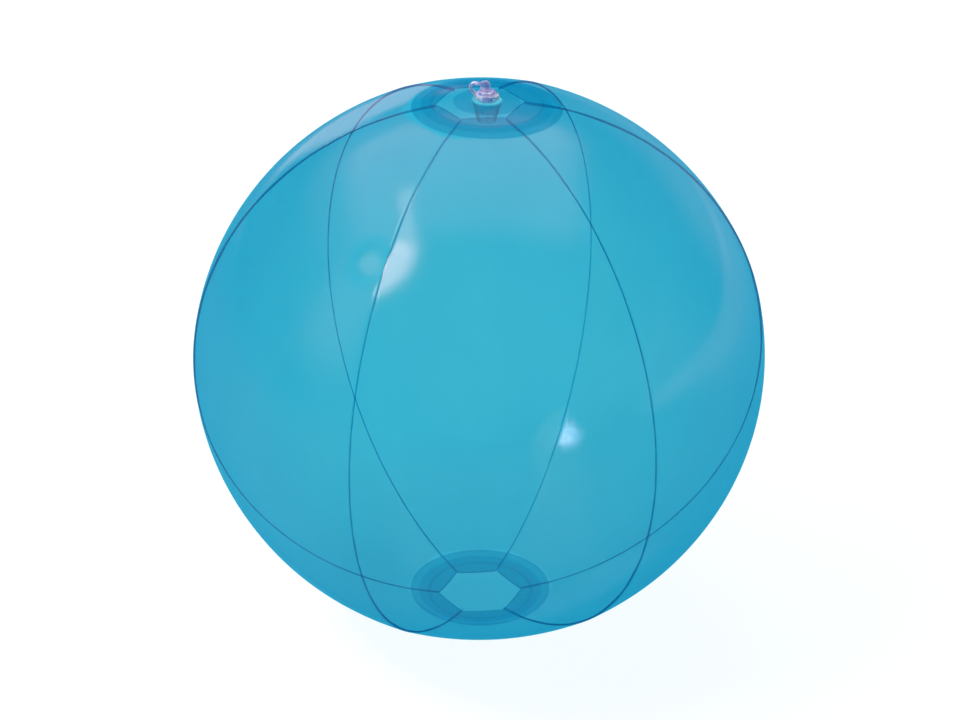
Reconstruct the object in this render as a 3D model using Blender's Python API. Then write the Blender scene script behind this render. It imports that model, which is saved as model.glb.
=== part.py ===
"""Inflatable beach ball: six welded PVC gores, two end discs and a push-in air valve.

Metres, +Z up. The ball stands on its bottom disc with the valve on top. The origin is the middle
of the small flat where the film rests on the ground.
"""

import math

import bmesh
import bpy
from mathutils import Matrix, Vector

# The ball
EQUATOR_RADIUS = 0.140  # outer face of the gores where the ball is widest
POLE_RADIUS = 0.1382  # the end discs hold the poles in a little
FILM = 0.0002
GAP = 0.0003  # between pieces that touch
PATCH_RADIUS = 0.014  # the film lies flat on the ground this far out

# Gores
GORE_COUNT = 6
FIRST_SEAM = math.radians(-115.0)  # its direction from +X
END_CUT_RADIUS = 0.0212  # corners of the hexagonal window between the gores' straight ends
FIN_DEPTH = 0.0015  # the welded edges turn this far into the ball
GORE_ROWS = 26
GORE_COLUMNS = 8

# End discs
DISC_RADIUS = 0.0357
DISC_RINGS = 6
DISC_STEPS = 36
TOP_DISC_TILT = math.radians(1.4)  # the top disc and its valve are welded a little off centre
VALVE_HOLE_RADIUS = 0.0070

# Valve: heights are from the top disc's outer face on the valve's axis
FLANGE_RADIUS = 0.0149
FLANGE_BORE_RADIUS = 0.0076
FLANGE_THICKNESS = 0.0004
FLANGE_STEPS = 36
TUBE_RADIUS = 0.0042
BORE_RADIUS = 0.0026
TUBE_FOOT = -0.0114
COLLAR_RADIUS = 0.00565
COLLAR_BASE = 0.0003
COLLAR_TOP = 0.0027
COLLAR_EDGE = 0.0006  # rounding of the collar's rims
VALVE_STEPS = 24
FOLD_THICKNESS = 0.00035
FOLD_RINGS = 5
PLUG_RADIUS = 0.0023
PLUG_TIP = -0.0036
PLUG_TIP_RADIUS = 0.0016
HEAD_RADIUS = 0.0042
HEAD_THICKNESS = 0.0012
TAB_WIDTH = 0.0045
TAB_DEPTH = 0.0026
TAB_TOP = 0.0108
TAB_SHIFT = -0.0010  # the pull tab stands off the plug's axis, towards the strap
STRAP_WIDTH = 0.0034
STRAP_THICKNESS = 0.0007
STRAP_LOW = 0.0015
STRAP_HIGH = 0.0092
STRAP_REACH = 0.0028  # how far the strap's loop swings out past its ends
STRAP_POINTS = 9
FLAP_RADIUS = 0.0037
FLAP_THICKNESS = 0.0003
FLAP_HINGE = 0.0041  # the flap's hinge line is this far behind the valve's axis
FLAP_TAB_WIDTH = 0.0030
FLAP_POINTS = 20

DISC_LIFT = GAP + FILM  # a disc's outer face above the gores' outer face


def on_ball(turn, lift=0.0):
    """Radius and height of the ball's profile, turn from the top pole, lift out along its normal."""
    r, z = EQUATOR_RADIUS * math.sin(turn), POLE_RADIUS * math.cos(turn)
    out = Vector((math.sin(turn) / EQUATOR_RADIUS, math.cos(turn) / POLE_RADIUS)).normalized()
    return r + lift * out.x, z + lift * out.y


def turn_at(radius, lift=0.0):
    """How far from the top pole the profile reaches a radius."""
    return math.asin(radius / (EQUATOR_RADIUS + lift))


CENTRE_HEIGHT = -on_ball(math.pi - turn_at(PATCH_RADIUS, DISC_LIFT), DISC_LIFT)[1]
VALVE_BASE = POLE_RADIUS + DISC_LIFT  # the top disc's outer face, from the ball's centre


def material(name, colour, roughness):
    """A plain plastic of one colour."""
    made = bpy.data.materials.new(name)
    made.use_nodes = True
    shader = made.node_tree.nodes["Principled BSDF"]
    shader.inputs["Base Color"].default_value = (*colour, 1.0)
    shader.inputs["Roughness"].default_value = roughness
    shader.inputs["Metallic"].default_value = 0.0
    made.diffuse_color = (*colour, 1.0)
    return made


def add_object(name, bm, finish, parent=None, origin=(0.0, 0.0, 0.0), sharp_degrees=40.0):
    """Makes an object of bm, whose points are in the parent's space, with its origin at origin."""
    mesh = bpy.data.meshes.new(name)
    bmesh.ops.translate(bm, verts=bm.verts, vec=-Vector(origin))
    bm.to_mesh(mesh)
    bm.free()
    mesh.shade_smooth()
    mesh.set_sharp_from_angle(angle=math.radians(sharp_degrees))
    mesh.materials.append(finish)
    made = bpy.data.objects.new(name, mesh)
    bpy.context.scene.collection.objects.link(made)
    made.parent = parent
    made.location = origin
    return made


def add_empty(name, height, tilt=0.0):
    """A frame on the ball's axis, tilted about Y."""
    made = bpy.data.objects.new(name, None)
    bpy.context.scene.collection.objects.link(made)
    made.location = (0.0, 0.0, height)
    made.rotation_euler = (0.0, tilt, 0.0)
    return made


def turned(outline, steps, closed=True):
    """Spins (radius, height) points about Z. An open outline starts and ends on the axis."""
    bm = bmesh.new()
    points = [bm.verts.new((r, 0.0, z)) for r, z in outline]
    pairs = list(zip(points, points[1:]))
    if closed:
        pairs.append((points[-1], points[0]))
    edges = [bm.edges.new(pair) for pair in pairs]
    bmesh.ops.spin(bm, geom=points + edges, axis=(0, 0, 1), cent=(0, 0, 0),
                   angle=math.tau, steps=steps, use_merge=True)
    bmesh.ops.remove_doubles(bm, verts=bm.verts, dist=1e-6)
    bmesh.ops.recalc_face_normals(bm, faces=bm.faces)
    return bm


def slab(outline, thickness):
    """A flat plate of an XY outline, from z = 0 down to -thickness."""
    bm = bmesh.new()
    face = bm.faces.new([bm.verts.new((x, y, 0.0)) for x, y in outline])
    sides = bmesh.ops.extrude_face_region(bm, geom=[face])
    lower = [v for v in sides["geom"] if isinstance(v, bmesh.types.BMVert)]
    bmesh.ops.translate(bm, verts=lower, vec=(0.0, 0.0, -thickness))
    bmesh.ops.recalc_face_normals(bm, faces=bm.faces)
    return bm


def gore_points(turn_share, azimuth):
    """A point of a gore's outer face, with the gore's ends cut straight across."""
    half = math.pi / GORE_COUNT
    first = turn_at(END_CUT_RADIUS * math.cos(half) / math.cos(azimuth))
    r, z = on_ball(first + (math.pi - 2.0 * first) * turn_share)
    return Vector((r * math.cos(azimuth), r * math.sin(azimuth), z))


def seam_points(turn_share, side, depth):
    """A point of a gore's edge at depth under the surface, half a gap from the seam's plane."""
    azimuth = side * math.pi / GORE_COUNT
    first = turn_at(END_CUT_RADIUS)
    r, z = on_ball(first + (math.pi - 2.0 * first) * turn_share, -depth)
    point = Vector((r * math.cos(azimuth), r * math.sin(azimuth), z))
    into_gore = Vector((abs(math.sin(azimuth)), -side * math.cos(azimuth), 0.0))
    return point + into_gore * GAP / 2.0


def gore_mesh(finish):
    """One gore about the X axis: its face and the two narrow fins along its seams, as one sheet."""
    bm = bmesh.new()
    half = math.pi / GORE_COUNT
    rows = []
    for i in range(GORE_ROWS + 1):
        share = i / GORE_ROWS
        row = [seam_points(share, -1, FIN_DEPTH), seam_points(share, -1, 0.0)]
        for j in range(1, GORE_COLUMNS):
            row.append(gore_points(share, half * (2.0 * j / GORE_COLUMNS - 1.0)))
        row += [seam_points(share, 1, 0.0), seam_points(share, 1, FIN_DEPTH)]
        rows.append([bm.verts.new(point) for point in row])
    for upper, lower in zip(rows, rows[1:]):
        for j in range(len(upper) - 1):
            bm.faces.new((upper[j], lower[j], lower[j + 1], upper[j + 1]))
    mesh = bpy.data.meshes.new("gore")
    bm.to_mesh(mesh)
    bm.free()
    mesh.shade_smooth()
    mesh.set_sharp_from_angle(angle=math.radians(40.0))
    mesh.materials.append(finish)
    return mesh


def add_gores(centre, finish):
    """Six copies of the gore round the ball, each made solid inwards."""
    mesh = gore_mesh(finish)
    for i in range(GORE_COUNT):
        gore = bpy.data.objects.new(f"gore_panel_{i + 1}", mesh)
        bpy.context.scene.collection.objects.link(gore)
        gore.parent = centre
        gore.rotation_euler.z = FIRST_SEAM + (i + 0.5) * math.tau / GORE_COUNT
        solid = gore.modifiers.new("film", "SOLIDIFY")
        solid.thickness = FILM
        solid.offset = -1.0
        solid.use_even_offset = True


def disc_outline(inner_radius):
    """The profile of a disc over the top pole: out along its outer face and back along its inner."""
    first, last = turn_at(inner_radius), turn_at(DISC_RADIUS)
    turns = [first + (last - first) * i / DISC_RINGS for i in range(DISC_RINGS + 1)]
    outer = [on_ball(turn, DISC_LIFT) for turn in turns]
    inner = [on_ball(turn, GAP) for turn in reversed(turns)]
    return outer + inner


def add_top_disc(valve_axis, finish):
    """The disc with a hole in it for the valve."""
    bm = turned(disc_outline(VALVE_HOLE_RADIUS), DISC_STEPS)
    add_object("top_disc", bm, finish, valve_axis)


def add_bottom_disc(centre, finish):
    """The closed disc, flat in the middle where it rests on the ground."""
    ground = -CENTRE_HEIGHT
    rim = [(r, -z) for r, z in disc_outline(PATCH_RADIUS)]
    outer = [(0.0, ground)] + [(r, max(z, ground)) for r, z in rim[: DISC_RINGS + 1]]
    inner = [(r, max(z, ground + FILM)) for r, z in rim[DISC_RINGS + 1 :]]
    bm = turned(outer + inner + [(0.0, ground + FILM)], DISC_STEPS, closed=False)
    add_object("bottom_disc", bm, finish, centre)


def add_valve_flange(valve_axis, finish):
    """The flat root of the valve, welded under the top disc."""
    radii = [FLANGE_BORE_RADIUS, (FLANGE_BORE_RADIUS + FLANGE_RADIUS) / 2.0, FLANGE_RADIUS]
    outer = [on_ball(turn_at(r)) for r in radii]
    inner = [on_ball(turn_at(r), -FLANGE_THICKNESS) for r in reversed(radii)]
    bm = turned(outer + inner, FLANGE_STEPS)
    add_object("valve_flange", bm, finish, valve_axis)


def add_valve_fold(valve_axis, finish):
    """The soft sleeve from the flange down to the tube's foot, folded in as the valve is stowed."""
    top = Vector((FLANGE_BORE_RADIUS - GAP - FOLD_THICKNESS, VALVE_BASE - 2.0 * DISC_LIFT))
    foot = Vector((TUBE_RADIUS + GAP, VALVE_BASE + TUBE_FOOT + TUBE_RADIUS / 4.0))
    inner = []
    for i in range(FOLD_RINGS + 1):
        share = i / FOLD_RINGS
        belly = FOLD_THICKNESS * math.sin(math.pi * share)
        point = top.lerp(foot, share)
        inner.append((point.x - belly, point.y))
    outer = [(r + FOLD_THICKNESS, z) for r, z in reversed(inner)]
    bm = turned(inner + outer, VALVE_STEPS)
    add_object("valve_fold", bm, finish, valve_axis)


def add_valve_stem(valve_axis, finish):
    """The tube one blows into, with a round-edged collar at its mouth."""
    edge = COLLAR_EDGE
    outline = [
        (BORE_RADIUS, TUBE_FOOT),
        (TUBE_RADIUS, TUBE_FOOT),
        (TUBE_RADIUS, COLLAR_BASE),
        (COLLAR_RADIUS - edge / 2.0, COLLAR_BASE),
        (COLLAR_RADIUS, COLLAR_BASE + edge),
        (COLLAR_RADIUS, COLLAR_TOP - edge),
        (COLLAR_RADIUS - edge, COLLAR_TOP),
        (BORE_RADIUS, COLLAR_TOP),
    ]
    bm = turned([(r, z + VALVE_BASE) for r, z in outline], VALVE_STEPS)
    add_object("valve_stem", bm, finish, valve_axis, (0.0, 0.0, VALVE_BASE))


def tab_outline():
    """The pull tab seen from above: a bar with round ends."""
    radius = TAB_DEPTH / 2.0
    reach = TAB_WIDTH / 2.0 - radius
    points = []
    for side, start in ((1.0, -math.pi / 2.0), (-1.0, math.pi / 2.0)):
        for i in range(5):
            angle = start + math.pi * i / 4.0
            x = TAB_SHIFT + side * reach + radius * math.cos(angle)
            points.append((x, radius * math.sin(angle)))
    return points


def add_valve_plug(valve_axis, finish):
    """The stopper: a shank in the tube's bore, a flat head on the collar, and a pull tab."""
    head_base = COLLAR_TOP + GAP
    head_top = head_base + HEAD_THICKNESS
    outline = [
        (0.0, PLUG_TIP),
        (PLUG_TIP_RADIUS, PLUG_TIP),
        (PLUG_RADIUS, PLUG_TIP + PLUG_RADIUS - PLUG_TIP_RADIUS),
        (PLUG_RADIUS, head_base),
        (HEAD_RADIUS, head_base),
        (HEAD_RADIUS, head_top - HEAD_THICKNESS / 3.0),
        (HEAD_RADIUS - HEAD_THICKNESS / 3.0, head_top),
        (0.0, head_top),
    ]
    bm = turned([(r, z + VALVE_BASE) for r, z in outline], VALVE_STEPS, closed=False)
    plug = add_object("valve_plug", bm, finish, valve_axis, (0.0, 0.0, VALVE_BASE))

    sunk = HEAD_THICKNESS / 2.0  # the tab starts inside the head, so that the two join
    bm = slab(tab_outline(), TAB_TOP - head_top + sunk)
    top = [e for e in bm.edges if all(v.co.z > -GAP for v in e.verts)]
    bmesh.ops.bevel(bm, geom=top, offset=TAB_DEPTH / 4.0, segments=2, affect="EDGES")
    bmesh.ops.translate(bm, verts=bm.verts, vec=(0.0, 0.0, VALVE_BASE + TAB_TOP))
    tab = add_object("pull_tab_shape", bm, finish, valve_axis, (0.0, 0.0, VALVE_BASE))
    tab.hide_render = True
    tab.display_type = "WIRE"
    join = plug.modifiers.new("pull tab", "BOOLEAN")
    join.operation = "UNION"
    join.solver = "EXACT"
    join.object = tab


def strap_path():
    """The strap's middle line in the XZ plane: out of the collar, up in a loop, into the tab."""
    turn_x = -COLLAR_RADIUS - 2.0 * GAP
    middle, rise = (STRAP_HIGH + STRAP_LOW) / 2.0, (STRAP_HIGH - STRAP_LOW) / 2.0
    path = [Vector((-COLLAR_RADIUS - GAP, 0.0, STRAP_LOW))]
    for i in range(STRAP_POINTS):
        angle = -math.pi / 2.0 - math.pi * i / (STRAP_POINTS - 1)
        x = turn_x + STRAP_REACH * math.cos(angle)
        path.append(Vector((x, 0.0, middle + rise * math.sin(angle))))
    path.append(Vector((TAB_SHIFT - TAB_WIDTH / 2.0 - GAP, 0.0, STRAP_HIGH)))
    return path


def add_valve_strap(valve_axis, finish):
    """The ribbon that keeps the plug on the valve."""
    path = strap_path()
    bm = bmesh.new()
    loops = []
    for i, point in enumerate(path):
        along = (path[min(i + 1, len(path) - 1)] - path[max(i - 1, 0)]).normalized()
        across = Vector((0.0, STRAP_WIDTH / 2.0, 0.0))
        up = across.cross(along).normalized() * STRAP_THICKNESS / 2.0
        corners = (point + across + up, point - across + up, point - across - up,
                   point + across - up)
        loops.append([bm.verts.new(corner) for corner in corners])
    for here, there in zip(loops, loops[1:]):
        for k in range(4):
            bm.faces.new((here[k], here[k - 1], there[k - 1], there[k]))
    bm.faces.new(loops[0])
    bm.faces.new(reversed(loops[-1]))
    bmesh.ops.recalc_face_normals(bm, faces=bm.faces)
    bmesh.ops.translate(bm, verts=bm.verts, vec=(0.0, 0.0, VALVE_BASE))
    add_object("valve_strap", bm, finish, valve_axis, (0.0, 0.0, VALVE_BASE))


def add_check_flap(valve_axis, finish):
    """The leaf that closes the tube's inner end, hung from a tab behind the bore."""
    half_tab = FLAP_TAB_WIDTH / 2.0
    first = math.pi / 2.0 + math.asin(half_tab / FLAP_RADIUS)
    sweep = math.tau - 2.0 * (first - math.pi / 2.0)
    outline = [(-half_tab, FLAP_HINGE)]
    for i in range(FLAP_POINTS + 1):
        angle = first + sweep * i / FLAP_POINTS
        outline.append((FLAP_RADIUS * math.cos(angle), FLAP_RADIUS * math.sin(angle)))
    outline.append((half_tab, FLAP_HINGE))
    bm = slab(outline, FLAP_THICKNESS)
    top = VALVE_BASE + TUBE_FOOT - GAP
    bmesh.ops.translate(bm, verts=bm.verts, vec=(0.0, 0.0, top))
    hinge = (0.0, FLAP_HINGE, top - FLAP_THICKNESS / 2.0)
    add_object("check_flap", bm, finish, valve_axis, hinge)


def clear_scene():
    """Starts from an empty scene."""
    for old in list(bpy.data.objects):
        bpy.data.objects.remove(old, do_unlink=True)


def main():
    clear_scene()
    film = material("tinted film", (0.03, 0.42, 0.60), 0.12)
    disc_film = material("disc film", (0.02, 0.34, 0.55), 0.12)
    clear_pvc = material("clear soft PVC", (0.72, 0.74, 0.86), 0.25)
    centre = add_empty("ball_centre", CENTRE_HEIGHT)
    valve_axis = add_empty("valve_axis", CENTRE_HEIGHT, TOP_DISC_TILT)
    add_gores(centre, film)
    add_bottom_disc(centre, disc_film)
    add_top_disc(valve_axis, disc_film)
    add_valve_flange(valve_axis, clear_pvc)
    add_valve_fold(valve_axis, clear_pvc)
    add_valve_stem(valve_axis, clear_pvc)
    add_valve_strap(valve_axis, clear_pvc)
    add_valve_plug(valve_axis, clear_pvc)
    add_check_flap(valve_axis, clear_pvc)


main()
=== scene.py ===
"""Looks of the see-through inflatable beach ball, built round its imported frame.

Metres, +Z up, in the frame's own axes. Each piece of film is a thin closed shell, tinted once
for each time that light crosses it. The valve is soft clear PVC.
"""

import math

import bmesh
import bpy
import numpy as np
from mathutils import Matrix, Vector, noise


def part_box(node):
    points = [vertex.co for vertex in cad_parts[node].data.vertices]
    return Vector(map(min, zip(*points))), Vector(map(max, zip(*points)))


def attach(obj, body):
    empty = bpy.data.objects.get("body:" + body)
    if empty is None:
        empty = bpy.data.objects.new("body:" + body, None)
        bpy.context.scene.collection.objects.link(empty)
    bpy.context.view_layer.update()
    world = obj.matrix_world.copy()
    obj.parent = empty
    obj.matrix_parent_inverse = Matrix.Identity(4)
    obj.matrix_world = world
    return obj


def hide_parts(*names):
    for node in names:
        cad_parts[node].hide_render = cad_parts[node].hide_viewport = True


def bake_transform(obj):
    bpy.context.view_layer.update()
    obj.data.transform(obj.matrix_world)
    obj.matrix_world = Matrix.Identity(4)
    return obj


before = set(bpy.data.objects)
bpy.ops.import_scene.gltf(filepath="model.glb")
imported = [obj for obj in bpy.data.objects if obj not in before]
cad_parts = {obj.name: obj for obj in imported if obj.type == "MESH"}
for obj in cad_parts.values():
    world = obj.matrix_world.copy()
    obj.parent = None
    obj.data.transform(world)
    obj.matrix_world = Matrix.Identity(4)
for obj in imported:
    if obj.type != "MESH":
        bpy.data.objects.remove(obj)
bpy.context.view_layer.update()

# The ball, as in the CAD
EQUATOR_RADIUS = 0.140
POLE_RADIUS = 0.1382
FILM = 0.0002
GAP = 0.0003
PATCH_RADIUS = 0.014
GORE_COUNT = 6
FIRST_SEAM = math.radians(-115.0)
END_CUT_RADIUS = 0.0212
DISC_RADIUS = 0.0357
TOP_DISC_TILT = math.radians(1.4)
VALVE_HOLE_RADIUS = 0.0070
HALF_GORE = math.pi / GORE_COUNT
DISC_LIFT = GAP + FILM
VALVE_BASE = POLE_RADIUS + DISC_LIFT

# Valve: heights are from the top disc's outer face on the valve's axis
FLANGE_BORE_RADIUS = 0.0076
TUBE_RADIUS = 0.0042
BORE_RADIUS = 0.0026
TUBE_FOOT = -0.0114
COLLAR_RADIUS = 0.00565
COLLAR_BASE = 0.0003
COLLAR_TOP = 0.0027
HEAD_RADIUS = 0.0042
HEAD_THICKNESS = 0.0012
PLUG_RADIUS = 0.0023
PLUG_TIP = -0.0036
TAB_WIDTH = 0.0045
TAB_DEPTH = 0.0026
TAB_TOP = 0.0092
TAB_SHIFT = -0.0010
STRAP_WIDTH = 0.0034
STRAP_THICKNESS = 0.0013
STRAP_LOW = 0.0015
STRAP_HIGH = 0.0078
STRAP_REACH = 0.0018
FLAP_RADIUS = 0.0037
FLAP_THICKNESS = 0.0003
FLAP_HINGE = 0.0041
FLAP_TAB_WIDTH = 0.0030

gore_low, gore_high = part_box("gore_panel_1")
CENTRE = Vector((0.0, 0.0, (gore_low.z + gore_high.z) / 2.0))
BALL_FRAME = Matrix.Translation(CENTRE)
VALVE_FRAME = BALL_FRAME @ Matrix.Rotation(TOP_DISC_TILT, 4, "Y")

# Shape of the blown-up film
FLATTEN = 0.085  # how far each gore is from round towards flat across its width
SECANT_MEAN = math.log(math.tan(math.pi / 4.0 + HALF_GORE / 2.0)) / HALF_GORE
SWELL = 0.00022  # unevenness of the film, over SWELL_SPAN
SWELL_SPAN = 0.05
PUCKER = 0.00004  # ripples beside the seams
PUCKER_SPAN = 0.006
PUCKER_REACH = 0.006
SEAM_BEND = 0.00035  # radius of the film's turn into a seam
SEAM_HALF = 0.00003  # half of the space between the two films of a seam
EDGE_POWER = 24  # keeps a seam's inset close to the gore's edges
FIN_SHARE = 0.85  # of a seam's columns lie on its fin, and the rest on its bend
FIN_DEPTH = 0.0011  # always deeper than SEAM_BEND, where the seams are finest too
FIN_DEPTH_AT_DISC = 0.0015
FIN_GAUGE = 1.1
BEND_GAUGE = 1.4
FINE_SEAMS = (2, 5)
FINER = 0.35
FINE_START, FINE_END = 1.5, 1.9  # turns from the top pole
FIN_SWAY = 0.00025
GORE_ROWS = 132
GORE_COLUMNS = 34
CROWDING = 0.45  # how much closer the columns stand near the seams
GORE_LENGTH = math.pi * EQUATOR_RADIUS - 2.0 * END_CUT_RADIUS
LIP_WIDTH = 0.0007  # the straight cut end of a gore, a little thicker and darker
LIP_GAUGE = 0.9
UNDER_DISC_GAUGE = 0.78


# ---------------------------------------------------------------- camera

CAMERA_ELEVATION = math.radians(28.2)
CAMERA_DISTANCE = 1.382
CAMERA_LENS = 104.8
CAMERA_SENSOR = 36.0
AIM_DROP = 0.0008  # the camera looks this far under the ball's centre


def add_camera():
    """The photograph's viewing angle."""
    data = bpy.data.cameras.new("camera")
    data.lens = CAMERA_LENS
    data.sensor_width = CAMERA_SENSOR
    data.clip_start, data.clip_end = 0.05, 50.0
    camera = bpy.data.objects.new("camera", data)
    bpy.context.scene.collection.objects.link(camera)
    back = Vector((0.0, -math.cos(CAMERA_ELEVATION), math.sin(CAMERA_ELEVATION)))
    up = Vector((0.0, math.sin(CAMERA_ELEVATION), math.cos(CAMERA_ELEVATION)))
    camera.location = CENTRE - up * AIM_DROP + back * CAMERA_DISTANCE
    camera.rotation_mode = "QUATERNION"
    camera.rotation_quaternion = (-back).to_track_quat("-Z", "Y")
    bpy.context.scene.camera = camera


# ---------------------------------------------------------------- node helpers


class Graph:
    """A node tree, with short calls to add and join nodes."""

    def __init__(self, tree):
        self.tree = tree
        tree.nodes.clear()

    def put(self, socket, value):
        """Joins another node's output to a socket, or sets the socket's own value."""
        if isinstance(value, bpy.types.NodeSocket):
            self.tree.links.new(value, socket)
        else:
            socket.default_value = value

    def node(self, kind, sockets=None, **settings):
        made = self.tree.nodes.new(kind)
        for key, value in settings.items():
            setattr(made, key, value)
        for key, value in (sockets or {}).items():
            self.put(made.inputs[key], value)
        return made

    def math(self, operation, *values, clamp=False):
        made = self.node("ShaderNodeMath", dict(enumerate(values)), operation=operation)
        made.use_clamp = clamp
        return made.outputs[0]

    def ramp(self, value, start, end, low=0.0, high=1.0, smooth=True):
        """low before start and high after end, going evenly or smoothly between."""
        kind = "SMOOTHSTEP" if smooth else "LINEAR"
        sockets = {"Value": value, "From Min": start, "From Max": end, "To Min": low,
                   "To Max": high}
        return self.node("ShaderNodeMapRange", sockets, interpolation_type=kind).outputs[0]

    def noise(self, vector, scale, detail=2.0, roughness=0.5):
        sockets = {"Vector": vector, "Scale": scale, "Detail": detail, "Roughness": roughness}
        return self.node("ShaderNodeTexNoise", sockets).outputs[0]

    def mix(self, share, first, second):
        """Mixes two colours."""
        made = self.node("ShaderNodeMix", {0: share, 6: first, 7: second}, data_type="RGBA")
        return made.outputs[2]

    def blend(self, share, first, second):
        """Mixes two shaders."""
        return self.node("ShaderNodeMixShader", {0: share, 1: first, 2: second}).outputs[0]


def new_material(name):
    made = bpy.data.materials.new(name)
    made.use_nodes = True
    return made, Graph(made.node_tree)


def rgb(*values):
    return (*values, 1.0)


# ---------------------------------------------------------------- studio

PAPER_WHITE = rgb(1.0, 1.0, 1.0)
FLOOR_RADIUS = 6.0
FLOOR_DROP = 0.0003
FLOOR_GLOW = 0.90  # how white the camera sees the sweep, apart from what the ball shades
FLOOR_MATTE = 0.20
# The floor's spill is painted light: an emission that stands in for light falling from behind on the
# right.
SPILL_START, SPILL_END = 0.35, 1.1  # light from behind on the right falls on the floor here
SPILL_SIDE = (0.62, 0.78, 0.0)
SPILL_GLOW = 0.6  # how bright that part is in the ball's reflections
ROOM = 0.03  # what gloss picks up from the rest of the room
FLOOR_STEPS = 96
DOWN = Vector((0.0, 0.0, -1.0))

# Where the lamps are, from the ball's centre
LAMP_DISTANCE = 1.2
KEY_WAY = Vector((-0.475, -0.335, 0.775))
WINDOW_WAY = Vector((-0.64, -0.19, 0.745))
STRIP_PLACE = Vector((-0.40, -0.06, 0.95))
OVERHEAD_PLACE = Vector((-0.15, 0.52, 1.0))
SPILL_PLACE = Vector((-0.45, 1.1, 1.05))
BACKDROP_PLACE = Vector((-0.36, 1.4, 0.20))
BACK_RIGHT_PLACE = Vector((1.0, 1.6, 0.05))
RIGHT_PLACE = Vector((1.5, -0.4, 0.1))
LEFT_PLACE = Vector((-1.15, -0.45, 0.75))


def add_world():
    """A white sweep behind the ball, and a dim room in its reflections."""
    world = bpy.data.worlds.new("studio")
    bpy.context.scene.world = world
    world.use_nodes = True
    g = Graph(world.node_tree)
    seen = g.node("ShaderNodeLightPath").outputs["Is Camera Ray"]
    sweep = g.node("ShaderNodeBackground", {"Color": PAPER_WHITE, "Strength": 1.0}).outputs[0]
    room = g.node("ShaderNodeBackground", {"Color": PAPER_WHITE, "Strength": ROOM}).outputs[0]
    g.node("ShaderNodeOutputWorld", {"Surface": g.blend(seen, room, sweep)})


def add_floor():
    """A wide pale floor that runs into the sweep, with a faint shadow under the ball. In the ball's
    reflections it glows brighter towards the back right: painted light from an emission, not from a
    lamp.
    """
    material, g = new_material("pale floor")
    seen = g.node("ShaderNodeLightPath").outputs["Is Camera Ray"]
    place = g.node("ShaderNodeTexCoord").outputs["Object"]
    grain = g.ramp(g.noise(place, 900.0), 0.0, 1.0, 0.96 * FLOOR_MATTE, FLOOR_MATTE, smooth=False)
    paper = g.node("ShaderNodeCombineColor", {0: grain, 1: grain, 2: grain}).outputs[0]
    matte = g.node("ShaderNodeBsdfDiffuse", {"Color": paper}).outputs[0]
    glow = g.node("ShaderNodeEmission", {"Color": PAPER_WHITE, "Strength": FLOOR_GLOW}).outputs[0]
    # Painted light: rays that are not the camera's see the floor glow brighter towards the back
    # right, a pool of light that no lamp casts.
    side = g.node("ShaderNodeVectorMath", {0: place, 1: SPILL_SIDE}, operation="DOT_PRODUCT")
    spill = g.ramp(side.outputs["Value"], SPILL_START, SPILL_END, ROOM, SPILL_GLOW)
    lit = g.node("ShaderNodeEmission", {"Color": PAPER_WHITE, "Strength": spill}).outputs[0]
    both = g.node("ShaderNodeAddShader", {0: g.blend(seen, lit, glow), 1: matte}).outputs[0]
    g.node("ShaderNodeOutputMaterial", {"Surface": both})

    angles = [math.tau * i / FLOOR_STEPS for i in range(FLOOR_STEPS)]
    rim = [(FLOOR_RADIUS * math.cos(angle), FLOOR_RADIUS * math.sin(angle), -FLOOR_DROP)
           for angle in angles]
    mesh = bpy.data.meshes.new("floor")
    mesh.from_pydata(rim, [], [list(range(FLOOR_STEPS))])
    mesh.materials.append(material)
    floor = bpy.data.objects.new("floor", mesh)
    bpy.context.scene.collection.objects.link(floor)


def softbox_material(name, width, height, radiance, soft, round_shape):
    """Even light that fades over the outer part, given as a share of the softbox's half size."""
    material, g = new_material(name)
    parts = g.node("ShaderNodeSeparateXYZ", {0: g.node("ShaderNodeTexCoord").outputs["Object"]})
    across = [g.math("DIVIDE", g.math("ABSOLUTE", parts.outputs[i]), size / 2.0)
              for i, size in enumerate((width, height))]
    if round_shape:
        squares = [g.math("MULTIPLY", value, value) for value in across]
        far = g.math("SQRT", g.math("ADD", *squares))
        light = g.ramp(far, 1.0 - soft, 1.0, radiance, 0.0)
    else:
        sides = [g.ramp(value, 1.0 - soft, 1.0, 1.0, 0.0) for value in across]
        light = g.math("MULTIPLY", g.math("MULTIPLY", *sides), radiance)
    facing = g.math("SUBTRACT", 1.0, g.node("ShaderNodeNewGeometry").outputs["Backfacing"])
    strength = g.math("MULTIPLY", light, facing)
    glow = g.node("ShaderNodeEmission", {"Color": PAPER_WHITE, "Strength": strength}).outputs[0]
    past = g.node("ShaderNodeBsdfTransparent", {"Color": PAPER_WHITE}).outputs[0]
    both = g.node("ShaderNodeAddShader", {0: glow, 1: past}).outputs[0]
    g.node("ShaderNodeOutputMaterial", {"Surface": both})
    return material


def add_softbox(name, place, target, width, height, radiance, soft=0.5, round_shape=False):
    """A flat light that faces target, with its outer share soft. It shows in gloss, not to the
    camera, and lets the light of those behind it through."""
    corners = [(x * width / 2.0, y * height / 2.0, 0.0)
               for x, y in ((-1.0, -1.0), (1.0, -1.0), (1.0, 1.0), (-1.0, 1.0))]
    mesh = bpy.data.meshes.new(name)
    mesh.from_pydata(corners, [], [(0, 1, 2, 3)])
    mesh.materials.append(softbox_material(name, width, height, radiance, soft, round_shape))
    lamp = bpy.data.objects.new(name, mesh)
    bpy.context.scene.collection.objects.link(lamp)
    lamp.location = place
    lamp.rotation_mode = "QUATERNION"
    lamp.rotation_quaternion = (Vector(target) - Vector(place)).to_track_quat("Z", "Y")
    lamp.visible_camera = False
    lamp.visible_shadow = False


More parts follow.
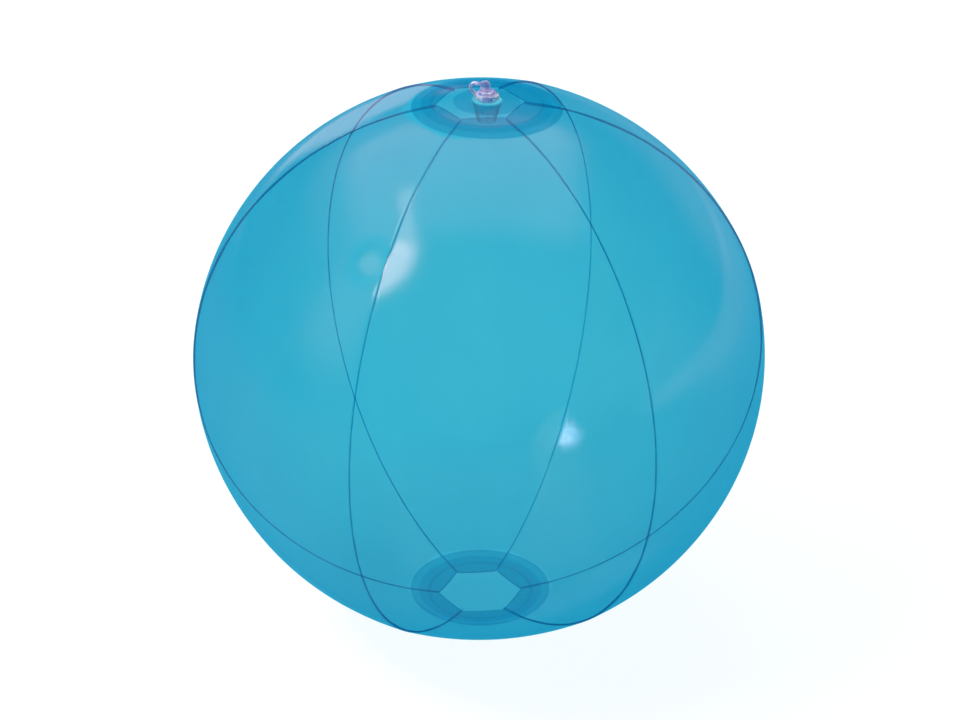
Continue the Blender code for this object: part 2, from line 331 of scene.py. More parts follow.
def add_studio():
    add_world()
    add_floor()
    key = CENTRE + KEY_WAY.normalized() * LAMP_DISTANCE
    window = CENTRE + WINDOW_WAY.normalized() * LAMP_DISTANCE
    add_softbox("key softbox", key, CENTRE, width=0.38, height=0.56, radiance=10.5, soft=0.35,
                round_shape=True)
    add_softbox("window light", window, CENTRE, width=0.22, height=0.22, radiance=62.0, soft=0.4,
                round_shape=True)
    strip, overhead, spill = CENTRE + STRIP_PLACE, CENTRE + OVERHEAD_PLACE, CENTRE + SPILL_PLACE
    add_softbox("strip light", strip, strip + DOWN, width=0.19, height=0.70, radiance=4.0)
    add_softbox("overhead softbox", overhead, overhead + DOWN, width=1.8, height=1.8,
                radiance=1.1, soft=0.35)
    add_softbox("overhead spill", spill, spill + DOWN, width=2.8, height=2.8, radiance=0.45)
    add_softbox("backdrop light", CENTRE + BACKDROP_PLACE, CENTRE, width=0.72, height=0.66,
                radiance=2.8, soft=0.4)
    add_softbox("back right panel", CENTRE + BACK_RIGHT_PLACE, CENTRE, width=2.2, height=1.7,
                radiance=0.60, soft=0.8)
    add_softbox("right panel", CENTRE + RIGHT_PLACE, CENTRE, width=2.0, height=1.8,
                radiance=0.30, soft=0.9)
    add_softbox("left panel", CENTRE + LEFT_PLACE, CENTRE, width=0.9, height=1.5,
                radiance=0.8, soft=0.8)


# ---------------------------------------------------------------- film

FILM_CLEAR = (0.207, 0.674, 0.785)  # what one film lets through, straight on
FILM_SLANT = (1.0, 0.75, 0.1)  # how much each colour deepens where light crosses at a slant
FILM_INDEX = 1.54
OUTER_GLOSS = rgb(1.0, 0.62, 0.58)
OUTER_INDEX = 1.46
MOST_GLOSS = 0.07
INNER_GLOSS = rgb(1.0, 0.20, 0.20)  # seen through the film in front, it looks white
INNER_SHARE = 0.06
GORE_SHINE = (1.0, 1.0, 1.0, 0.4, 1.0, 1.0)  # one gore is duller
GORE_GAUGE = (1.0, 1.0, 1.0, 1.07, 1.0, 1.0)  # and a little thicker
SCUFF = Vector((-0.050, -0.088, 0.0965))  # a dulled spot beside a seam
SCUFFED_GORE = 5
SCUFF_START, SCUFF_END = 0.009, 0.017
MOST_MATT = 0.97
REFLECTED_WAY = 0.25  # a lamp's reflection takes on this much of the film's tint
STREAK_SCALE, MOTTLE_SCALE, SKIN_SCALE, RIPPLE_SCALE = 42.0, 260.0, 1100.0, 75.0  # per metre
FILM_HAZE = 0.010
HAZE_COLOUR = rgb(0.62, 0.86, 0.96)


def film_tint(g, gauge):
    """Colour of light that has crossed the film: the longer its slanting way, the deeper."""
    facing = g.node("ShaderNodeLayerWeight", {"Blend": 0.5}).outputs["Facing"]
    cosine = g.math("SUBTRACT", 1.0, facing)
    sine_squared = g.math("SUBTRACT", 1.0, g.math("MULTIPLY", cosine, cosine))
    inside = g.math("SUBTRACT", 1.0, g.math("DIVIDE", sine_squared, FILM_INDEX**2))
    reflected = g.node("ShaderNodeLightPath").outputs["Is Glossy Ray"]
    weight = g.math("MULTIPLY", gauge, g.ramp(reflected, 0.0, 1.0, 1.0, REFLECTED_WAY, False))
    slant = g.math("SUBTRACT", g.math("POWER", inside, -0.5), 1.0)
    channels = {}
    for i, (clear, deepens) in enumerate(zip(FILM_CLEAR, FILM_SLANT)):
        way = g.math("MULTIPLY", g.math("MULTIPLY_ADD", slant, deepens, 1.0), weight)
        channels[i] = g.math("POWER", clear, way)
    return g.node("ShaderNodeCombineColor", channels).outputs[0]


def film_material(name, gloss, inside):
    """Tinted PVC film. Each shell is shaded only on the face that light meets first."""
    material, g = new_material(name)
    place = g.node("ShaderNodeTexCoord").outputs["Object"]
    gauge_mark = g.node("ShaderNodeAttribute", attribute_name="gauge").outputs["Fac"]
    shine_mark = g.node("ShaderNodeAttribute", attribute_name="shine").outputs["Fac"]

    streaks = g.node("ShaderNodeMapping", {"Vector": place, "Scale": (1.0, 1.0, 0.35)})
    uneven = g.noise(streaks.outputs[0], STREAK_SCALE, 3.0)
    mottle = g.noise(place, MOTTLE_SCALE, 2.0)
    even_gauge = g.math("ADD", g.ramp(uneven, 0.25, 0.75, 0.965, 1.03, smooth=False),
                        g.ramp(mottle, 0.2, 0.8, -0.008, 0.008, smooth=False))
    gauge = g.math("MULTIPLY", even_gauge, gauge_mark)
    tint = film_tint(g, gauge)

    skin = g.noise(place, SKIN_SCALE, 2.0)
    ripple = g.noise(place, RIPPLE_SCALE, 2.0)
    height = g.math("ADD", g.math("MULTIPLY", skin, 0.04), ripple)
    bump = g.node("ShaderNodeBump", {"Height": height, "Strength": 0.5, "Distance": 0.00012})

    roughness = g.ramp(uneven, 0.3, 0.7, 0.115, 0.15, smooth=False)
    shine = g.node("ShaderNodeBsdfGlossy", {"Color": gloss, "Roughness": roughness,
                                            "Normal": bump.outputs[0]}).outputs[0]
    if inside:
        share = g.math("MULTIPLY", shine_mark, INNER_SHARE)
    else:
        fresnel = g.node("ShaderNodeFresnel", {"IOR": OUTER_INDEX, "Normal": bump.outputs[0]})
        matt_mark = g.node("ShaderNodeAttribute", attribute_name="matt").outputs["Fac"]
        polish = g.math("MULTIPLY", shine_mark, g.math("SUBTRACT", 1.0, matt_mark))
        share = g.math("MULTIPLY", g.math("MINIMUM", fresnel.outputs[0], MOST_GLOSS), polish)

    clear = g.node("ShaderNodeBsdfTransparent", {"Color": tint}).outputs[0]
    milk = g.node("ShaderNodeBsdfTranslucent", {"Color": HAZE_COLOUR}).outputs[0]
    matte = g.node("ShaderNodeBsdfDiffuse", {"Color": HAZE_COLOUR}).outputs[0]
    haze = g.ramp(mottle, 0.2, 0.8, FILM_HAZE * 0.6, FILM_HAZE * 1.4, smooth=False)
    body = g.blend(haze, clear, g.blend(0.5, milk, matte))
    front = g.blend(share, body, shine)

    leaving = g.node("ShaderNodeNewGeometry").outputs["Backfacing"]
    passed = g.node("ShaderNodeBsdfTransparent", {"Color": PAPER_WHITE}).outputs[0]
    g.node("ShaderNodeOutputMaterial", {"Surface": g.blend(leaving, front, passed)})
    return material


# ---------------------------------------------------------------- geometry helpers


def on_ball(turn, lift=0.0):
    """Radius and height of the ball's profile, turn from the top pole, lift out along its normal."""
    r, z = EQUATOR_RADIUS * math.sin(turn), POLE_RADIUS * math.cos(turn)
    out = Vector((math.sin(turn) / EQUATOR_RADIUS, math.cos(turn) / POLE_RADIUS)).normalized()
    return r + lift * out.x, z + lift * out.y


def turn_at(radius, lift=0.0):
    return math.asin(radius / (EQUATOR_RADIUS + lift))


def ease(value, start, end):
    """0 before start and 1 after end, smooth between."""
    share = min(max((value - start) / (end - start), 0.0), 1.0)
    return share * share * (3.0 - 2.0 * share)


GROUND = on_ball(math.pi - turn_at(PATCH_RADIUS, DISC_LIFT), DISC_LIFT)[1]  # its height


def finish_mesh(name, points, faces, materials, marks=None, face_material=None, frame_matrix=None):
    """Makes a smooth object of points and faces. marks are named values at the points."""
    mesh = bpy.data.meshes.new(name)
    mesh.from_pydata([tuple(p) for p in points], [], faces)
    for mark, values in (marks or {}).items():
        attribute = mesh.attributes.new(mark, "FLOAT", "POINT")
        attribute.data.foreach_set("value", np.array(values, np.float32))
    for material in materials:
        mesh.materials.append(material)
    if face_material is not None:
        mesh.polygons.foreach_set("material_index", face_material)
    mesh.shade_smooth()
    mesh.update()
    made = bpy.data.objects.new(name, mesh)
    bpy.context.scene.collection.objects.link(made)
    made.matrix_world = frame_matrix or Matrix.Identity(4)
    return made


def grid_faces(rows, columns, wrap_rows=False, wrap_columns=False):
    """Faces of a grid of points that is kept row after row."""
    faces = []
    for i in range(rows if wrap_rows else rows - 1):
        for j in range(columns if wrap_columns else columns - 1):
            here, beside = i * columns + j, i * columns + (j + 1) % columns
            below = ((i + 1) % rows) * columns
            faces.append((here, below + j, below + (j + 1) % columns, beside))
    return faces


def join_body(piece, body, slot, *nodes):
    """Says what the piece rides on and which CAD nodes it stands for. slot, the finish it would
    take, is not used.
    """
    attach(piece, body)
    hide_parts(*nodes)


# ---------------------------------------------------------------- gores


def wall_lift(turn, azimuth, spot):
    """How far the blown-up film stands off the plain ball. azimuth is from the gore's middle."""
    round_off = FLATTEN * EQUATOR_RADIUS * (1.0 / math.cos(azimuth) - SECANT_MEAN)
    away_from_poles = math.sin(turn) ** 2
    swell = SWELL * noise.noise(spot / SWELL_SPAN) * away_from_poles
    to_seam = (HALF_GORE - abs(azimuth)) * EQUATOR_RADIUS * math.sin(turn)
    near_seam = math.exp(-to_seam / PUCKER_REACH)
    along = turn * EQUATOR_RADIUS / PUCKER_SPAN
    pucker = PUCKER * near_seam * noise.noise(Vector((along, spot.x, spot.y)))
    return round_off * away_from_poles + swell + pucker


def seam_strength(turn, seam):
    """Two of the seams are finer on the lower half of the ball."""
    return 1.0 - FINER * ease(turn, FINE_START, FINE_END) * (seam in FINE_SEAMS)


def fin_depth(turn, seam):
    """How far a seam's welded edges reach into the ball."""
    wander = 0.25 * noise.noise(Vector((turn * 9.0, seam * 5.3, 0.0)))
    from_pole = EQUATOR_RADIUS * math.sin(turn)
    deeper = 1.0 - ease(from_pole, DISC_RADIUS - 0.004, DISC_RADIUS + 0.003)
    even = FIN_DEPTH + (FIN_DEPTH_AT_DISC - FIN_DEPTH) * deeper
    return even * (1.0 + wander) * seam_strength(turn, seam)


def gore_columns():
    """(side, place) of each column: side -1 or 1 within a seam, where place is the way from the
    fin's free edge to the face, or side 0 on the face, where place is -1 to 1 across it."""
    seam = [0.0, 0.3, 0.6, FIN_SHARE, 0.93, 0.97]
    even = [2.0 * j / GORE_COLUMNS - 1.0 for j in range(GORE_COLUMNS + 1)]
    face = [CROWDING * math.sin(math.pi / 2.0 * e) + (1.0 - CROWDING) * e for e in even]
    return [(-1, s) for s in seam] + [(0, f) for f in face] + [(1, s) for s in reversed(seam)]


def gore_point(share, side, place, middle, index):
    """A point of a gore's outer face or fin, from the ball's centre."""
    azimuth = (place if side == 0 else side) * HALF_GORE
    cut = END_CUT_RADIUS * math.cos(HALF_GORE) / math.cos(azimuth)
    first = turn_at(cut)
    turn = first + (math.pi - 2.0 * first) * share
    r, z = on_ball(turn)
    heading = middle + azimuth
    spot = Vector((r * math.cos(heading), r * math.sin(heading), z))
    lift = wall_lift(turn, azimuth, spot)
    seam_heading = middle + math.copysign(HALF_GORE, azimuth)
    into_gore = Vector((math.sin(seam_heading), -math.cos(seam_heading), 0.0))
    into_gore *= 1.0 if azimuth > 0 else -1.0
    depth, sideways = 0.0, 0.0
    if side:
        seam = (index + (1 if side > 0 else 0)) % GORE_COUNT
        full = fin_depth(turn, seam)
        if place <= FIN_SHARE:  # the fin
            depth = full - (full - SEAM_BEND) * place / FIN_SHARE
            inset = SEAM_HALF
            sway = FIN_SWAY * noise.noise(Vector((turn * 22.0, seam * 3.7, 1.0)))
            sideways = sway * ((depth - SEAM_BEND) / full)
        else:  # the bend up to the face
            angle = math.pi / 2.0 * (1.0 - (place - FIN_SHARE) / (1.0 - FIN_SHARE))
            depth = SEAM_BEND * (1.0 - math.cos(angle))
            inset = SEAM_HALF + SEAM_BEND * (1.0 - math.sin(angle))
    else:
        inset = (SEAM_HALF + SEAM_BEND) * abs(place) ** EDGE_POWER
    r, z = on_ball(turn, lift - depth)
    point = Vector((r * math.cos(heading), r * math.sin(heading), z))
    across = Vector((-math.sin(heading), math.cos(heading), 0.0))
    return point + into_gore * inset + across * sideways, turn


def gore_rows():
    """Each row's share of the way from a gore's top end to its bottom end, with a lip at both."""
    lip = [reach / GORE_LENGTH for reach in (0.0, LIP_WIDTH / 2.0, LIP_WIDTH, 2.0 * LIP_WIDTH)]
    even = [i / GORE_ROWS for i in range(1, GORE_ROWS)]
    return lip + even + [1.0 - share for share in reversed(lip)]


def near_scuff(point):
    return 1.0 - ease((point - SCUFF).length, SCUFF_START, SCUFF_END)


def add_gores(outer, inner):
    columns, rows = gore_columns(), gore_rows()
    for index in range(GORE_COUNT):
        middle = FIRST_SEAM + (index + 0.5) * 2.0 * HALF_GORE
        points, gauge, shine, matt = [], [], [], []
        for share in rows:
            end = min(share, 1.0 - share) * GORE_LENGTH
            lip = 1.0 - ease(end, LIP_WIDTH / 2.0, LIP_WIDTH)
            for side, place in columns:
                point, turn = gore_point(share, side, place, middle, index)
                points.append(point)
                from_pole = math.hypot(point.x, point.y)
                covered = 1.0 - ease(from_pole, DISC_RADIUS - 0.0004, DISC_RADIUS + 0.0004)
                welded = 1.0 if side and place <= FIN_SHARE else 0.0
                body = 1.0 + (UNDER_DISC_GAUGE - 1.0) * covered + LIP_GAUGE * lip
                azimuth = (place if side == 0 else side) * HALF_GORE
                strength = seam_strength(turn, (index + (1 if azimuth > 0.0 else 0)) % GORE_COUNT)
                if side:
                    body = FIN_GAUGE * (1.0 - 0.4 * covered) if welded else BEND_GAUGE
                    body = 1.0 + (body - 1.0) * strength
                matt.append(MOST_MATT * near_scuff(point) if index == SCUFFED_GORE else 0.0)
                gauge.append(body * GORE_GAUGE[index])
                shine.append((1.0 - covered) * (1.0 - 0.6 * welded) * GORE_SHINE[index])
        count = len(columns)
        faces = grid_faces(len(rows), count)
        gore = finish_mesh(f"gore_film_{index + 1}", points, faces, [outer, inner],
                           {"gauge": gauge, "shine": shine, "matt": matt},
                           frame_matrix=BALL_FRAME)
        solid = gore.modifiers.new("film", "SOLIDIFY")
        solid.thickness = FILM
        solid.offset = -1.0
        solid.use_even_offset = True
        solid.material_offset = 1
        join_body(gore, "ball", "film", f"gore_panel_{index + 1}")


# ---------------------------------------------------------------- end discs

DISC_STEPS = 180
WELD_START = 0.72  # the weld's ridges begin and end at these shares of a disc's radius
WELD_END = 0.88
WELD_RIDGES = 5
RIDGE_HEIGHT = 0.00007
DEEP_BAND = 0.755  # past this share the disc and the gores are fused
DEEP_BAND_BLUR = 0.01
DISC_GAUGE = 0.85
FUSED_THINNER = 0.20
RIDGE_GAUGE = 0.6
FUSED_DULLER = 0.75
DISC_HOLE = 0.0004  # the bottom disc's rings close up to this
TOP_RINGS, BOTTOM_RINGS = 72, 84


def ridge(share):
    """Height of the weld's ridges at a share of the disc's radius."""
    if not WELD_START < share < WELD_END:
        return 0.0
    phase = (share - WELD_START) / (WELD_END - WELD_START)
    return RIDGE_HEIGHT * math.sin(math.pi * WELD_RIDGES * phase) ** 2


def spun(name, outline, steps, materials, marks, face_material, frame_matrix):
    """Spins a closed outline of (radius, height) points about Z into a ring."""
    count = len(outline)
    points = []
    for i in range(steps):
        angle = math.tau * i / steps
        points += [(r * math.cos(angle), r * math.sin(angle), z) for r, z in outline]
    marks = {mark: values * steps for mark, values in marks.items()}
    faces = grid_faces(steps, count, wrap_rows=True, wrap_columns=True)
    return finish_mesh(name, points, faces, materials, marks, face_material * steps, frame_matrix)


def disc_outline(inner_radius, rings, upside_down):
    """Outline, marks and face materials of a disc, out along its outer face and back inside."""
    outer, inner, gauge, shine = [], [], [], []
    for i in range(rings + 1):
        radius = inner_radius + (DISC_RADIUS - inner_radius) * i / rings
        share = radius / DISC_RADIUS
        turn = turn_at(radius)
        outer.append(on_ball(turn, DISC_LIFT + ridge(share)))
        inner.append(on_ball(turn, GAP))
        welded = ease(share, DEEP_BAND - DEEP_BAND_BLUR, DEEP_BAND + DEEP_BAND_BLUR)
        ridged = ridge(share) / RIDGE_HEIGHT
        gauge.append(DISC_GAUGE - FUSED_THINNER * welded + RIDGE_GAUGE * ridged)
        shine.append(1.0 - FUSED_DULLER * welded)
    outline = outer + inner[::-1]
    if upside_down:
        lowest = [GROUND] * len(outer) + [GROUND + FILM] * len(inner)
        outline = [(r, max(-z, low)) for (r, z), low in zip(outline, lowest)]
    faces = [0] * len(outer) + [1] * len(inner)
    return outline, {"gauge": gauge + gauge[::-1], "shine": shine + shine[::-1]}, faces


def add_discs(outer, inner):
    outline, marks, faces = disc_outline(VALVE_HOLE_RADIUS, TOP_RINGS, False)
    top = spun("top_disc_film", outline, DISC_STEPS, [outer, inner], marks, faces, VALVE_FRAME)
    join_body(top, "ball", "disc_film", "top_disc")
    outline, marks, faces = disc_outline(DISC_HOLE, BOTTOM_RINGS, True)
    bottom = spun("bottom_disc_film", outline, DISC_STEPS, [outer, inner], marks, faces, BALL_FRAME)
    join_body(bottom, "ball", "disc_film", "bottom_disc")


# ---------------------------------------------------------------- valve

VALVE_STEPS = 72
PVC_INDEX = 1.5
CLOUD_SCALE, GRAIN_SCALE = 430.0, 2600.0
PVC_MOST_GLOSS = 0.3
PVC_TINT = rgb(0.86, 0.85, 0.985)  # what the clear parts let through
PVC_PALE = rgb(0.96, 0.92, 1.0)
PVC_VIOLET = rgb(0.36, 0.30, 0.95)
PVC_PLAIN = rgb(0.985, 0.995, 0.998)  # the same, thin and soft, inside the ball
BURIED_MILK = 0.03  # share of the milkiness that shows under the disc
ROOT_TINT = rgb(0.66, 0.90, 0.95)  # the flange shows through the tinted disc
SLEEVE_TINT = rgb(0.86, 0.96, 0.98)
MOULD_UNEVEN = 0.00009
MOULD_SPAN = 0.0025
ROUND_STEPS = 5
OUTLINE_STEP = 0.0005
FLANGE_WELD_RADIUS = 0.0160
FLANGE_THICKNESS = 0.0004
FLANGE_RINGS = 3
FLANGE_STEPS = 60
PLUG_TIP_RADIUS = 0.0016
FOLD_THICKNESS = 0.00035
FOLD_PLEATS = 9
FOLD_ROWS = 26
PLEAT_DEPTH = 0.00016
STRAP_POINTS = 56
STRAP_SIDES = 24
LOOP_LOW = 0.0035  # clear of the disc when the valve is pushed in
LOOP_START, LOOP_END = 0.08, 0.75  # shares of the strap's length
STRAP_WAIST = 0.25
TAB_ROWS = 44
TAB_POINTS = 48
TAB_RIDGES = 5
TAB_RIDGE_HEIGHT = 0.00012
FLAP_STEPS = 96


def pvc_material(name, tint, buried_tint, clearest, milkiest, sunk=0.0015):
    """Soft clear PVC, a little milky, and more so where it is seen edge on.

    Further than sunk under the disc, going by its place at rest, it is plainer."""
    material, g = new_material(name)
    place = g.node("ShaderNodeTexCoord").outputs["Object"]
    cloud = g.noise(place, CLOUD_SCALE, 2.0)
    grain = g.noise(place, GRAIN_SCALE, 2.0)
    facing = g.node("ShaderNodeLayerWeight", {"Blend": 0.4}).outputs["Facing"]
    thick = g.math("ADD", facing, g.ramp(cloud, 0.35, 0.65, 0.3, -0.35, smooth=False))
    height_on_axis = g.node("ShaderNodeSeparateXYZ", {0: place}).outputs[2]
    above = g.ramp(height_on_axis, VALVE_BASE - sunk, VALVE_BASE + 0.0002, BURIED_MILK, 1.0)
    milk = g.math("MULTIPLY", g.ramp(thick, 0.1, 0.9, clearest, milkiest), above)
    height = g.math("ADD", cloud, g.math("MULTIPLY", grain, 0.12))
    bump = g.node("ShaderNodeBump", {"Height": height, "Strength": 1.0, "Distance": 0.0004})
    colour = g.mix(g.ramp(cloud, 0.46, 0.62), PVC_PALE, PVC_VIOLET)
    lit = {"Color": colour, "Normal": bump.outputs[0]}
    milky = g.blend(0.3, g.node("ShaderNodeBsdfDiffuse", lit).outputs[0],
                    g.node("ShaderNodeBsdfTranslucent", lit).outputs[0])
    through = g.mix(g.ramp(above, BURIED_MILK, 1.0), buried_tint, tint)
    clear = g.node("ShaderNodeBsdfTransparent", {"Color": through}).outputs[0]
    roughness = g.ramp(grain, 0.3, 0.7, 0.10, 0.22, smooth=False)
    shine = g.node("ShaderNodeBsdfGlossy", {"Color": PAPER_WHITE, "Roughness": roughness,
                                            "Normal": bump.outputs[0]}).outputs[0]
    fresnel = g.node("ShaderNodeFresnel", {"IOR": PVC_INDEX, "Normal": bump.outputs[0]})
    body = g.blend(milk, clear, milky)
    outside = g.math("SUBTRACT", 1.0, g.node("ShaderNodeNewGeometry").outputs["Backfacing"])
    share = g.math("MULTIPLY", g.math("MINIMUM", fresnel.outputs[0], PVC_MOST_GLOSS),
                   g.math("MULTIPLY", outside, above))
    g.node("ShaderNodeOutputMaterial", {"Surface": g.blend(share, body, shine)})
    return material


def rounded(corners):
    """A dense closed outline from corners (radius, height, rounding)."""
    sparse = []
    for i, (r, z, rounding) in enumerate(corners):
        here = Vector((r, z))
        before, after = Vector(corners[i - 1][:2]), Vector(corners[(i + 1) % len(corners)][:2])
        cut = min(rounding, (before - here).length * 0.49, (after - here).length * 0.49)
        start = here + (before - here).normalized() * cut
        end = here + (after - here).normalized() * cut
        for k in range(ROUND_STEPS + 1):
            t = k / ROUND_STEPS
            sparse.append(start * (1.0 - t) ** 2 + here * (2.0 * t * (1.0 - t)) + end * t * t)
    outline = []
    for here, there in zip(sparse, sparse[1:] + sparse[:1]):
        pieces = max(1, round((there - here).length / OUTLINE_STEP))
        outline += [tuple(here.lerp(there, k / pieces)) for k in range(pieces)]
    return outline


def turned(outline):
    """Points and faces of a closed outline of (radius, height) spun about the valve's axis."""
    points = []
    for i in range(VALVE_STEPS):
        angle = math.tau * i / VALVE_STEPS
        points += [Vector((r * math.cos(angle), r * math.sin(angle), z)) for r, z in outline]
    return points, grid_faces(VALVE_STEPS, len(outline), wrap_rows=True, wrap_columns=True)


def loft(rings):
    """Points and faces of a skin over closed rings of points, with a face at each end."""
    count = len(rings[0])
    points = [Vector(point) for ring in rings for point in ring]
    faces = grid_faces(len(rings), count, wrap_columns=True)
    last = len(points) - count
    return points, faces + [tuple(range(count)), tuple(range(last, last + count))]


def mould(name, parts, material, lift=VALVE_BASE):
    """One soft moulding of all the parts, with its normals outwards. Heights start at lift."""
    points, faces = [], []
    for part_points, part_faces in parts:
        first = len(points)
        points += part_points
        faces += [tuple(first + k for k in face) for face in part_faces]
    uneven = [p + noise.noise_vector(p / MOULD_SPAN) * MOULD_UNEVEN for p in points]
    raised = [p + Vector((0.0, 0.0, lift)) for p in uneven]
    made = finish_mesh(name, raised, faces, [material], frame_matrix=VALVE_FRAME)
    bm = bmesh.new()
    bm.from_mesh(made.data)
    bmesh.ops.recalc_face_normals(bm, faces=bm.faces)
    bm.to_mesh(made.data)
    bm.free()
    return made


def blend_body(piece, node):
    """Fixes the piece in place, on no body, and hides the CAD node it stands for."""
    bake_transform(piece)
    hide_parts(node)


def add_flange(material):
    """The valve's flat root, with the rings of its weld to the disc."""
    outer, inner = [], []
    for i in range(FLANGE_STEPS + 1):
        share = i / FLANGE_STEPS
        radius = FLANGE_BORE_RADIUS + (FLANGE_WELD_RADIUS - FLANGE_BORE_RADIUS) * share
        wave = math.sin(math.pi * FLANGE_RINGS * share) ** 2 * GAP * 0.5
        outer.append(on_ball(turn_at(radius), wave * (1.0 - share)))
        rim = ease(share, 0.0, 0.05) * ease(1.0 - share, 0.0, 0.05)
        inner.append(on_ball(turn_at(radius), -FLANGE_THICKNESS * (0.35 + 0.65 * rim) - wave / 2.0))
    parts = [turned(outer + inner[::-1])]
    join_body(mould("valve_flange_weld", parts, material, 0.0), "ball", "clear_pvc", "valve_flange")


def add_fold(material):
    """The soft sleeve between the flange and the tube's foot, folded in and a little pleated."""
    top = Vector((FLANGE_BORE_RADIUS - GAP - FOLD_THICKNESS, -2.0 * DISC_LIFT))
    foot = Vector((TUBE_RADIUS + GAP, TUBE_FOOT + TUBE_RADIUS / 4.0))
    rings = []
    for side in (0, 1):
        for i in range(FOLD_ROWS + 1):
            share = i / FOLD_ROWS if side == 0 else 1.0 - i / FOLD_ROWS
            loose = math.sin(math.pi * share)
            middle = top.lerp(foot, share)
            ring = []
            for k in range(VALVE_STEPS):
                angle = math.tau * k / VALVE_STEPS
                pleat = math.sin(FOLD_PLEATS * angle + 5.0 * share) * PLEAT_DEPTH * loose
                r = middle.x - FOLD_THICKNESS * loose + pleat + (FOLD_THICKNESS if side else 0.0)
                ring.append((r * math.cos(angle), r * math.sin(angle), middle.y))
            rings.append(ring)
    points = [Vector(point) for ring in rings for point in ring]
    faces = grid_faces(len(rings), VALVE_STEPS, wrap_rows=True, wrap_columns=True)
    piece = mould("valve_fold_sleeve", [(points, faces)], material)
    blend_body(piece, "valve_fold")


def add_stem(material):
    """The tube one blows into: a beaded collar at its mouth and a thickened foot."""
    bead = COLLAR_BASE + (COLLAR_TOP - COLLAR_BASE) / 2.0
    groove = 0.00025
    corners = [
        (BORE_RADIUS + groove, COLLAR_TOP - groove, groove),
        (BORE_RADIUS + 3.0 * groove, COLLAR_TOP, groove),
        (COLLAR_RADIUS - groove, COLLAR_TOP, 2.0 * groove),
        (COLLAR_RADIUS, bead + groove, groove),
        (COLLAR_RADIUS - groove, bead, groove),
        (COLLAR_RADIUS, bead - groove, groove),
        (COLLAR_RADIUS - groove, COLLAR_BASE, 2.0 * groove),
        (TUBE_RADIUS, COLLAR_BASE - groove, 2.0 * groove),
        (TUBE_RADIUS - groove, TUBE_FOOT / 3.0, 0.001),
        (TUBE_RADIUS - groove, TUBE_FOOT * 0.85, 0.001),
        (TUBE_RADIUS, TUBE_FOOT * 0.92, groove),
        (TUBE_RADIUS, TUBE_FOOT, groove),
        (BORE_RADIUS, TUBE_FOOT, groove),
        (BORE_RADIUS, COLLAR_TOP - 3.0 * groove, groove),
    ]
    piece = mould("valve_stem_moulding", [turned(rounded(corners))], material)
    join_body(piece, "stem", "clear_pvc", "valve_stem")


def tab_rings():
    """The pull tab: a bar with round ends that flares into the plug's head, with thumb ridges."""
    foot = COLLAR_TOP + GAP + HEAD_THICKNESS / 2.0
    crown = TAB_DEPTH * 0.6
    rings = []
    for i in range(TAB_ROWS + 1):
        # the rows stand close together in the crown
        share = math.sin(math.pi / 2.0 * i / TAB_ROWS)
        z = foot + (TAB_TOP - foot) * share
        over = max(0.0, (z - TAB_TOP + crown) / crown)
        shrink = math.sqrt(max(1.0 - over * over, 0.0004))
        flare = 1.0 + 0.25 * (1.0 - ease(share, 0.0, 0.35))
        ridges = ease(share, 0.35, 0.45) * ease(1.0 - share, 0.12, 0.2)
        grip = TAB_RIDGE_HEIGHT * ridges * math.sin(TAB_RIDGES * math.pi * share) ** 2
        ring = []
        for k in range(TAB_POINTS):
            c, s = math.cos(math.tau * k / TAB_POINTS), math.sin(math.tau * k / TAB_POINTS)
            x = math.copysign(abs(c) ** 0.7, c) * TAB_WIDTH / 2.0
            y = math.copysign(abs(s) ** 0.8, s) * (TAB_DEPTH / 2.0 - TAB_RIDGE_HEIGHT + grip)
            ring.append((TAB_SHIFT + x * shrink * flare, y * shrink * flare, z))
        rings.append(ring)
    return rings


def add_plug(material):
    """The stopper: a ribbed shank, a flat head with a raised rim, and the pull tab."""
    base = COLLAR_TOP + GAP
    top = base + HEAD_THICKNESS
    rib = 0.0001
    axis = 0.00001
    corners = [
        (axis, top - 2.0 * rib, 0.0),
        (HEAD_RADIUS * 0.62, top - 2.0 * rib, 2.0 * rib),
        (HEAD_RADIUS * 0.76, top, 4.0 * rib),
        (HEAD_RADIUS, top - 2.0 * rib, 4.0 * rib),
        (HEAD_RADIUS, base, 3.0 * rib),
        (PLUG_RADIUS, base, rib),
        (PLUG_RADIUS, base / 2.0, rib),
        (PLUG_RADIUS - rib, base / 4.0, rib),
        (PLUG_RADIUS, 0.0, rib),
        (PLUG_RADIUS - rib, PLUG_TIP / 4.0, rib),
        (PLUG_RADIUS, PLUG_TIP / 2.0, rib),
        (PLUG_RADIUS - rib, PLUG_TIP * 0.7, 4.0 * rib),
        (PLUG_TIP_RADIUS, PLUG_TIP, 4.0 * rib),
        (axis, PLUG_TIP, 0.0),
    ]
    parts = [turned(rounded(corners)), loft(tab_rings())]
    join_body(mould("valve_plug_moulding", parts, material), "plug", "clear_pvc", "valve_plug")


def strap_line(share):
    """The strap's middle line: out of the collar, round in a loop and into the tab."""
    low = Vector((-COLLAR_RADIUS + GAP, 0.0, STRAP_LOW))
    high = Vector((TAB_SHIFT - TAB_WIDTH / 2.0 + GAP, 0.0, STRAP_HIGH))
    turn_x = -COLLAR_RADIUS - 2.0 * GAP
    middle, rise = (STRAP_HIGH + LOOP_LOW) / 2.0, (STRAP_HIGH - LOOP_LOW) / 2.0
    if share < LOOP_START:
        return low.lerp(Vector((turn_x, 0.0, LOOP_LOW)), share / LOOP_START)
    if share > LOOP_END:
        way = (share - LOOP_END) / (1.0 - LOOP_END)
        return Vector((turn_x, 0.0, STRAP_HIGH)).lerp(high, way)
    angle = -math.pi / 2.0 - math.pi * (share - LOOP_START) / (LOOP_END - LOOP_START)
    return Vector((turn_x + STRAP_REACH * math.cos(angle), 0.0, middle + rise * math.sin(angle)))


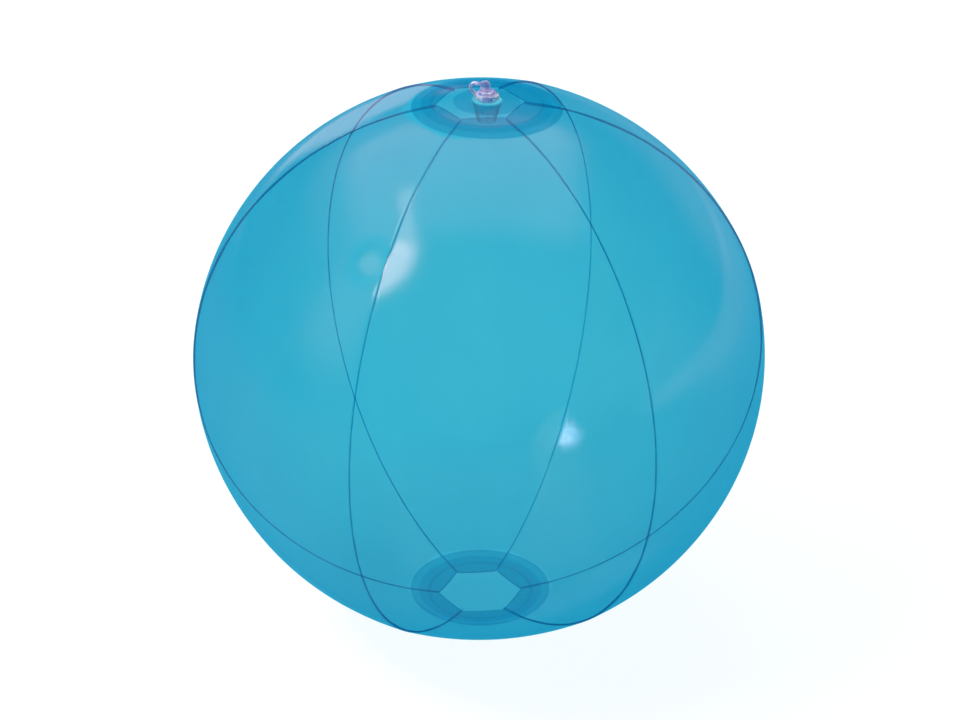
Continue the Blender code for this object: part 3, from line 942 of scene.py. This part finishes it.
def add_strap(material):
    """The ribbon that keeps the plug on the valve, narrower along its loop."""
    rings = []
    for i in range(STRAP_POINTS + 1):
        share = i / STRAP_POINTS
        point = strap_line(share)
        along = strap_line(min(share + 0.01, 1.0)) - strap_line(max(share - 0.01, 0.0))
        out = Vector((0.0, 1.0, 0.0)).cross(along).normalized()
        width = STRAP_WIDTH * (1.0 - STRAP_WAIST * math.sin(math.pi * share)) / 2.0
        ring = []
        for k in range(STRAP_SIDES):
            angle = math.tau * k / STRAP_SIDES
            c, s = math.cos(angle), math.sin(angle)
            across = math.copysign(abs(c) ** 0.6, c) * width
            ring.append(point + Vector((0.0, across, 0.0)) + out * (s * STRAP_THICKNESS / 2.0))
        rings.append(ring)
    piece = mould("valve_strap_ribbon", [loft(rings)], material)
    blend_body(piece, "valve_strap")


def add_leaf(material):
    """The check valve's leaf: slightly domed, with a hinge tab and a bead round its edge."""
    half_tab = FLAP_TAB_WIDTH / 2.0
    shares = [0.01, 0.2, 0.4, 0.6, 0.75, 0.84, 0.9, 0.95, 0.985, 1.0]
    rings = []
    for side, order in ((1.0, shares), (-1.0, shares[::-1])):
        for share in order:
            rim = 0.45 + 0.55 * ease(1.0 - share, 0.0, 0.05)
            half = FLAP_THICKNESS / 2.0 * rim * (0.75 + 0.25 * ease(share, 0.7, 0.85))
            ring = []
            for k in range(FLAP_STEPS):
                angle = math.tau * k / FLAP_STEPS
                c, s = math.cos(angle), math.sin(angle)
                reach = FLAP_RADIUS
                if s > 0.0 and abs(c) * FLAP_RADIUS < half_tab:
                    reach = FLAP_HINGE / s
                ring.append((reach * share * c, reach * share * s, side * half))
            rings.append(ring)
    points, faces = loft(rings)
    drop = Vector((0.0, 0.0, TUBE_FOOT - GAP - FLAP_THICKNESS / 2.0))
    piece = mould("valve_check_leaf", [([p + drop for p in points], faces)], material)
    join_body(piece, "flap", "clear_pvc", "check_flap")


def add_valve():
    milky = pvc_material("clear PVC moulding", PVC_TINT, PVC_PLAIN, 0.25, 0.95)
    soft = pvc_material("clear PVC sheet", PVC_PLAIN, PVC_PLAIN, 0.02, 0.2)
    sleeve = pvc_material("clear PVC sleeve", SLEEVE_TINT, PVC_PLAIN, 0.02, 0.2, 0.0022)
    add_flange(pvc_material("clear PVC root", ROOT_TINT, ROOT_TINT, 0.02, 0.2))
    add_fold(sleeve)
    add_stem(milky)
    add_plug(milky)
    add_strap(milky)
    add_leaf(soft)


# ---------------------------------------------------------------- the script


def main():
    add_camera()
    add_studio()
    outer = film_material("tinted film, outside", OUTER_GLOSS, False)
    inner = film_material("tinted film, inside", INNER_GLOSS, True)
    add_gores(outer, inner)
    add_discs(outer, inner)
    add_valve()
    bpy.context.scene.view_settings.view_transform = "Standard"
    bpy.context.scene.cycles.transparent_max_bounces = 64


main()
